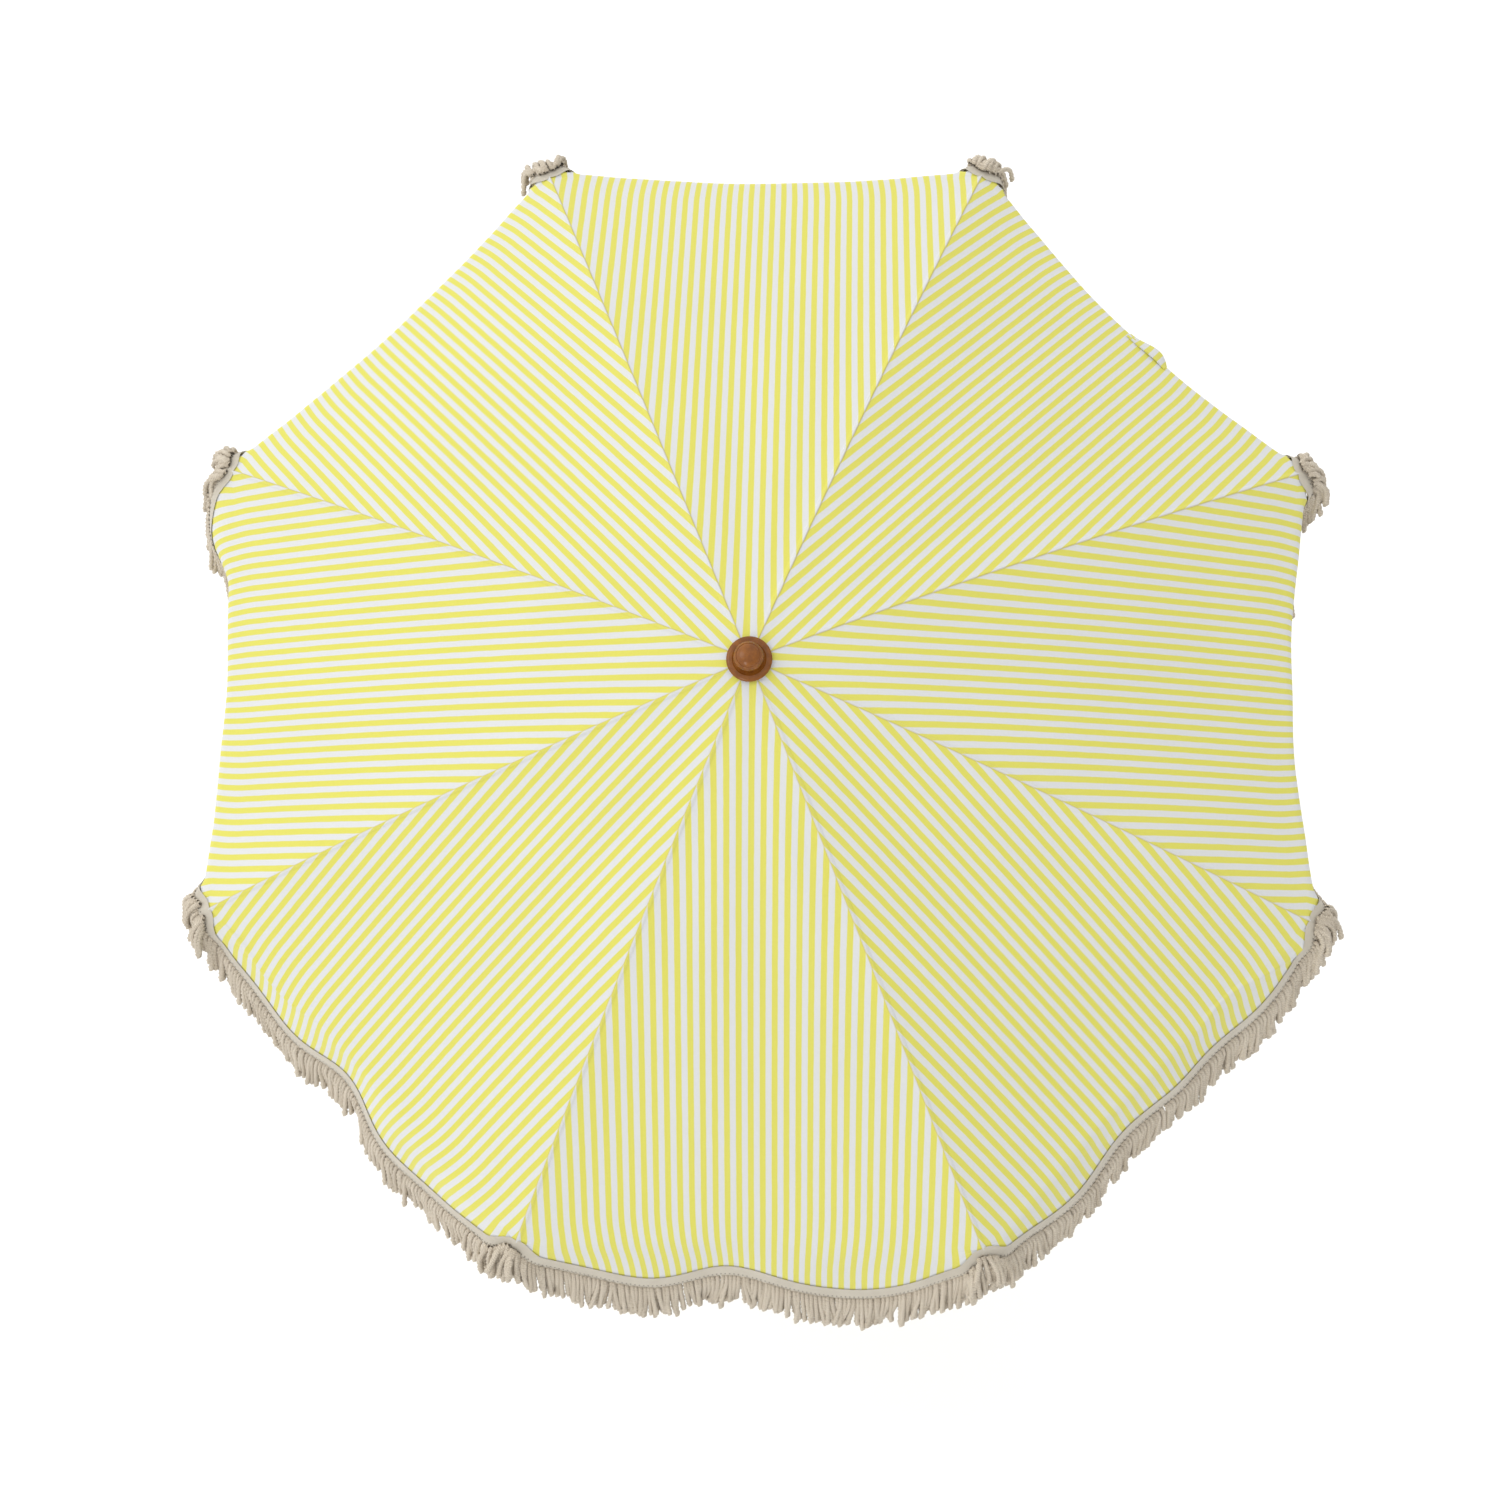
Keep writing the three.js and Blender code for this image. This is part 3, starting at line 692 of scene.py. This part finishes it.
def strand_mesh(path, radius, twist):
    """A two-ply cord about a centre line."""
    ahead = np.gradient(path, axis=0)
    ahead /= np.linalg.norm(ahead, axis=1, keepdims=True)
    aside = np.cross(ahead, np.array([0.3, 0.9, 0.2]))
    aside /= np.linalg.norm(aside, axis=1, keepdims=True)
    third = np.cross(ahead, aside)
    run = np.linspace(0, 1, RINGS)
    taper = np.where(run > 0.96, 0.72, 1.0) * np.where(run < 0.04, 0.75, 1.0)
    flare = 1 + 0.16 * smooth((run - 0.8) / 0.15)
    angle = np.arange(SIDES) * 2 * math.pi / SIDES
    points = []
    for i in range(RINGS):
        turn = twist * run[i]
        radii = radius * taper[i] * flare[i] * (0.84 + 0.24 * np.cos(2 * (angle - turn)))
        sideways = np.outer(radii * np.cos(angle), aside[i])
        onward = np.outer(radii * np.sin(angle), third[i])
        points.append(path[i] + sideways + onward)
    points.append(path[-1:] + ahead[-1:] * radius * 0.3)
    length = lengths_along(path)[-1]
    cut = np.stack(np.meshgrid(run * length, np.arange(SIDES) / SIDES * GIRTH, indexing="ij"), -1)
    return np.concatenate(points), cut


def strand_faces():
    faces = []
    for r in range(RINGS - 1):
        for c in range(SIDES):
            d = (c + 1) % SIDES
            faces.append([r * SIDES + c, (r + 1) * SIDES + c, (r + 1) * SIDES + d, r * SIDES + d])
    last = (RINGS - 1) * SIDES
    for c in range(0, SIDES, 2):
        faces.append([last + c, last + SIDES * 1, last + (c + 2) % SIDES, last + c + 1])
    return faces


ONE_STRAND = strand_faces()


def tuft(line, way, along, out, run):
    """Paths of the extra strands that bunch where the tape turns round a rib tip."""
    middle = run[-1] / 2
    paths = []
    for i in range(22):
        fan = rng.uniform(-1, 1)
        here = int(np.searchsorted(run, middle + fan * 0.030))
        leave = way[here] + along[here] * rng.normal(0, 0.25) + out[here] * rng.uniform(0.0, 0.5)
        leave /= np.linalg.norm(leave)
        over = 1 - abs(fan)
        base = line[here] - way[here] * (0.013 * over) + out[here] * rng.uniform(0.004, 0.007)
        length = STRAND * rng.uniform(0.75, 1.0)
        spread = rng.normal(0, 0.1, 3)
        stiff = rng.uniform(0.03, 0.06)
        paths.append(strand_path(base, leave, np.zeros(3), length, spread, stiff))
    return paths


def make_strands(index):
    line, way = edge_line(index, 400, 0.0175)
    along = np.gradient(line, axis=0)
    along /= np.linalg.norm(along, axis=-1, keepdims=True)
    out = np.cross(way, along)
    out /= np.linalg.norm(out, axis=-1, keepdims=True)
    run = lengths_along(line)
    number = int(run[-1] / STRAND_GAP)
    points, faces, values = [], [], []
    offset = 0
    clump = rng.normal(0, 0.075, (number // 5 + 3, 3))
    paths = tuft(line, way, along, out, run)
    for layer in range(2):
        for i in range(number):
            if layer == 1 and rng.uniform() < 0.12:
                continue
            at = (i + 0.5 + 0.5 * layer) * STRAND_GAP + rng.normal(0, 0.0009)
            here = int(np.clip(np.searchsorted(run, at), 1, 398))
            start = line[here] - out[here] * (0.0035 * layer)
            length = STRAND * rng.uniform(0.9, 1.1)
            group = clump[(i + layer) // 5] + rng.normal(0, 0.05, 3)
            paths.append(strand_path(start, way[here], out[here], length, group))
    for path in paths:
        tube, cut = strand_mesh(path, STRAND_R * rng.uniform(0.9, 1.12), 2 * math.pi * STRAND / 0.017)
        points.append(tube)
        faces += [[v + offset for v in face] for face in ONE_STRAND]
        own = GIRTH * rng.integers(0, 400)
        for face in ONE_STRAND:
            for v in face:
                r, c = divmod(min(v, RINGS * SIDES - 1), SIDES)
                values.append((own + cut[r, c, 1], cut[r, c, 0]))
        offset += len(tube)
    points = placed(np.concatenate(points))
    strands = make_mesh(f"strands_{index + 1}", points, faces, STRAND_COTTON, None, {"cut": values})
    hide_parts(f"fringe_{index + 1}")
    return follow(strands, index)


# ---- top fittings, poles ----
def make_top():
    """The washer and the finial, each turned from an outline of radius and height."""
    washer = rounded([
        (0.0045, 0.2505), (0.0312, 0.2505), (0.0331, 0.2522), (0.0331, 0.2542), (0.0300, 0.2556),
        (0.0245, 0.2560), (0.0235, 0.2552), (0.0130, 0.2552), (0.0045, 0.2552),
    ], 0.0009)
    knob = rounded([
        (0.0001, 0.2554), (0.0150, 0.2554), (0.0158, 0.2570), (0.0146, 0.2600), (0.0168, 0.2640),
        (0.0206, 0.2680), (0.0216, 0.2725), (0.0208, 0.2780), (0.0178, 0.2822), (0.0172, 0.2816),
        (0.0155, 0.2838), (0.0105, 0.2858), (0.0050, 0.2867), (0.0001, 0.2869),
    ], 0.0012, 5)
    top = turned_mesh("washer_turned", washer, VARNISHED, CANOPY)
    ball = turned_mesh("finial_turned", knob, VARNISHED, CANOPY)
    for piece, node in ((top, "top_washer"), (ball, "finial")):
        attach(piece, "head")
        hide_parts(node)


def make_poles():
    """The three lengths of timber; the upper one has a blind hole for the finial's stud."""
    upright = Matrix.Identity(4)
    lower = rounded([(0.0001, 0.0625), (0.019, 0.0625), (0.019, 0.5995), (0.0001, 0.5995)], 0.0015)
    middle = rounded([(0.0001, 0.6012), (0.019, 0.6012), (0.019, 1.1895), (0.0001, 1.1895)], 0.0015)
    upper = rounded([
        (0.0001, 0.0345), (0.016, 0.0345), (0.016, 0.9435),
        (0.0046, 0.9435), (0.0046, 0.915), (0.0001, 0.915),
    ], 0.001)
    for name, profile, matrix, body, wood in (
        ("lower_timber", lower, upright, "foot", POLE_WOOD),
        ("middle_timber", middle, upright, "mast", POLE_WOOD),
        ("upper_timber", upper, LEAN, "head", HEAD_WOOD),
    ):
        pole = turned_mesh(name, profile, wood, matrix, 48)
        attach(pole, body)
        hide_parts(name.replace("timber", "pole"))


# ---- carried-over nodes ----
def paint_nodes():
    coats = {
        "ground_spike": BRASS, "pole_sleeve": BRASS, "clamp_screw": BRASS, "tilt_pin": BRASS,
        "tilt_fork": NYLON, "tilt_tongue": NYLON, "runner": NYLON, "crown_hub": NYLON,
        "tilt_button": DARK, "runner_latch": DARK,
        "button_spring": STEEL, "runner_wire": STEEL, "crown_wire": STEEL, "finial_stud": STEEL,
    }
    for i in range(1, PANELS + 1):
        coats[f"rib_{i}"] = PAINT
        coats[f"stretcher_{i}"] = PAINT
        coats[f"rib_tip_{i}"] = NYLON
    for name, coat in coats.items():
        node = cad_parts[name]
        node.data.materials.clear()
        node.data.materials.append(coat)


# ---- tie strap ----
def make_strap():
    """The band that ties the folded cover: sewn on the flap by both ends and bowed out between them."""
    azimuth = STEP
    stations = 49
    columns = 9
    middle = columns // 2
    t = np.linspace(0, 1, stations)
    from_edge = np.linspace(0.003, 0.003 + STRAP_WIDTH, columns)
    place, wide = np.meshgrid(STRAP_START + (STRAP_END - STRAP_START) * t, from_edge, indexing="ij")
    base = hanging(place, azimuth + 0 * place, wide)
    out = np.cross(np.gradient(base, axis=0), np.gradient(base, axis=1))
    out /= np.linalg.norm(out, axis=-1, keepdims=True)
    out = out[:, middle : middle + 1]
    down = base[:, -1:] - base[:, :1]
    down /= np.linalg.norm(down, axis=-1, keepdims=True)
    # flat on the flap at both ends, and tipped outwards most near the second one
    loose = np.sin(math.pi * t**1.8)
    lean = (0.08 + 0.36 * loose)[:, None, None]
    width_way = down * np.cos(lean) + out * np.sin(lean)
    top = base[:, :1] + out * (0.0025 + 0.0015 * loose)[:, None, None]
    points = top + width_way * (wide - wide[:, :1])[..., None]
    run = lengths_along(points[:, middle])
    corners = grid_corners(np.stack([np.repeat(run[:, None], columns, 1), wide], -1))
    layers = {"cut": corners, "seam": np.full_like(corners, 0.5)}
    points = placed(around(points, azimuth).reshape(-1, 3))
    strap = make_mesh("strap_cloth", points, grid_faces(stations, columns), CLOTH, None, layers)
    thicken = strap.modifiers.new("thickness", "SOLIDIFY")
    thicken.thickness = 0.0018
    thicken.offset = 0
    apply_modifiers(strap)
    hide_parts("tie_strap")
    follow(strap, 0)


# ---- stage ----
def make_stage(bright):
    n = Nodes("pale_floor")
    n.finish((0.96, 0.96, 0.96, 1), 0.95)
    far = 40
    corners = [(-far, -far, 0), (far, -far, 0), (far, far, 0), (-far, far, 0)]
    floor = make_mesh("floor", corners, [[0, 1, 2, 3]], n.material)
    world = bpy.data.worlds.new("studio")
    world.use_nodes = True
    world.node_tree.nodes["Background"].inputs[0].default_value = (1, 1, 1, 1)
    # the studio is brighter towards one side, evenly falling off to the other
    tree = world.node_tree
    way = tree.nodes.new("ShaderNodeTexCoord")
    dot = tree.nodes.new("ShaderNodeVectorMath")
    dot.operation = "DOT_PRODUCT"
    dot.inputs[1].default_value = bright
    strength = tree.nodes.new("ShaderNodeMath")
    strength.operation = "MULTIPLY_ADD"
    strength.inputs[1].default_value = 0.56
    strength.inputs[2].default_value = 1.0
    tree.links.new(way.outputs["Generated"], dot.inputs[0])
    tree.links.new(dot.outputs["Value"], strength.inputs[0])
    tree.links.new(strength.outputs[0], tree.nodes["Background"].inputs[1])
    bpy.context.scene.world = world


def light(name, place, target, size, power):
    data = bpy.data.lights.new(name, "AREA")
    data.shape = "DISK"
    data.size = size
    data.energy = power
    lamp = bpy.data.objects.new(name, data)
    way = np.array(target, float) - np.array(place, float)
    lamp.matrix_world = Matrix.Translation(place) @ Matrix(look(way)).to_4x4()
    bpy.context.collection.objects.link(lamp)
    return lamp


def look(way, up=(0, 0, 1)):
    """Rotation whose -Z looks along way."""
    back = -np.array(way, float) / np.linalg.norm(way)
    right = np.cross(up, back)
    right /= np.linalg.norm(right)
    upward = np.cross(back, right)
    return np.stack([right, upward, back], 1).tolist()


def make_camera():
    """The camera looks almost straight along the canopy's axis, a little from its low side."""
    height = math.radians(79.6)
    aside = math.radians(14.8)
    roll = math.radians(-14.1)
    distance = 4.07 * SPREAD
    level = math.cos(height)
    back = np.array([math.sin(aside) * level, -math.cos(aside) * level, math.sin(height)])
    right = np.array([math.cos(aside), math.sin(aside), 0])
    up = np.cross(back, right)
    r = math.cos(roll) * right + math.sin(roll) * up
    u = math.cos(roll) * up - math.sin(roll) * right
    turn = np.array(CANOPY)[:3, :3] @ np.stack([r, u, back], 1)
    place = placed((back * distance)[None])[0]
    data = bpy.data.cameras.new("camera")
    data.lens = 57.4
    data.sensor_width = 36
    data.shift_x = -0.0047
    data.shift_y = -0.04
    camera = bpy.data.objects.new("camera", data)
    camera.matrix_world = Matrix.Translation(place) @ Matrix(turn.tolist()).to_4x4()
    bpy.context.collection.objects.link(camera)
    bpy.context.scene.camera = camera
    return place, turn


covers = make_cover()
for number in range(PANELS):
    tape = make_tape(number)
    strands = make_strands(number)
make_strap()
make_top()
make_poles()
paint_nodes()
place, turn = make_camera()
make_stage(tuple((turn[:, 1] - turn[:, 0]) / math.sqrt(2)))
aim = placed(np.array([[0, 0, 0.1]]))[0]
light("key", tuple(place + turn[:, 0] * -2.6 + turn[:, 1] * 1.6), tuple(aim), size=2.0, power=26)
light("low", tuple(place - turn[:, 0] * 1.2 - turn[:, 1] * 1.4), tuple(aim), size=0.6, power=9)
bpy.context.scene.view_settings.view_transform = "Standard"
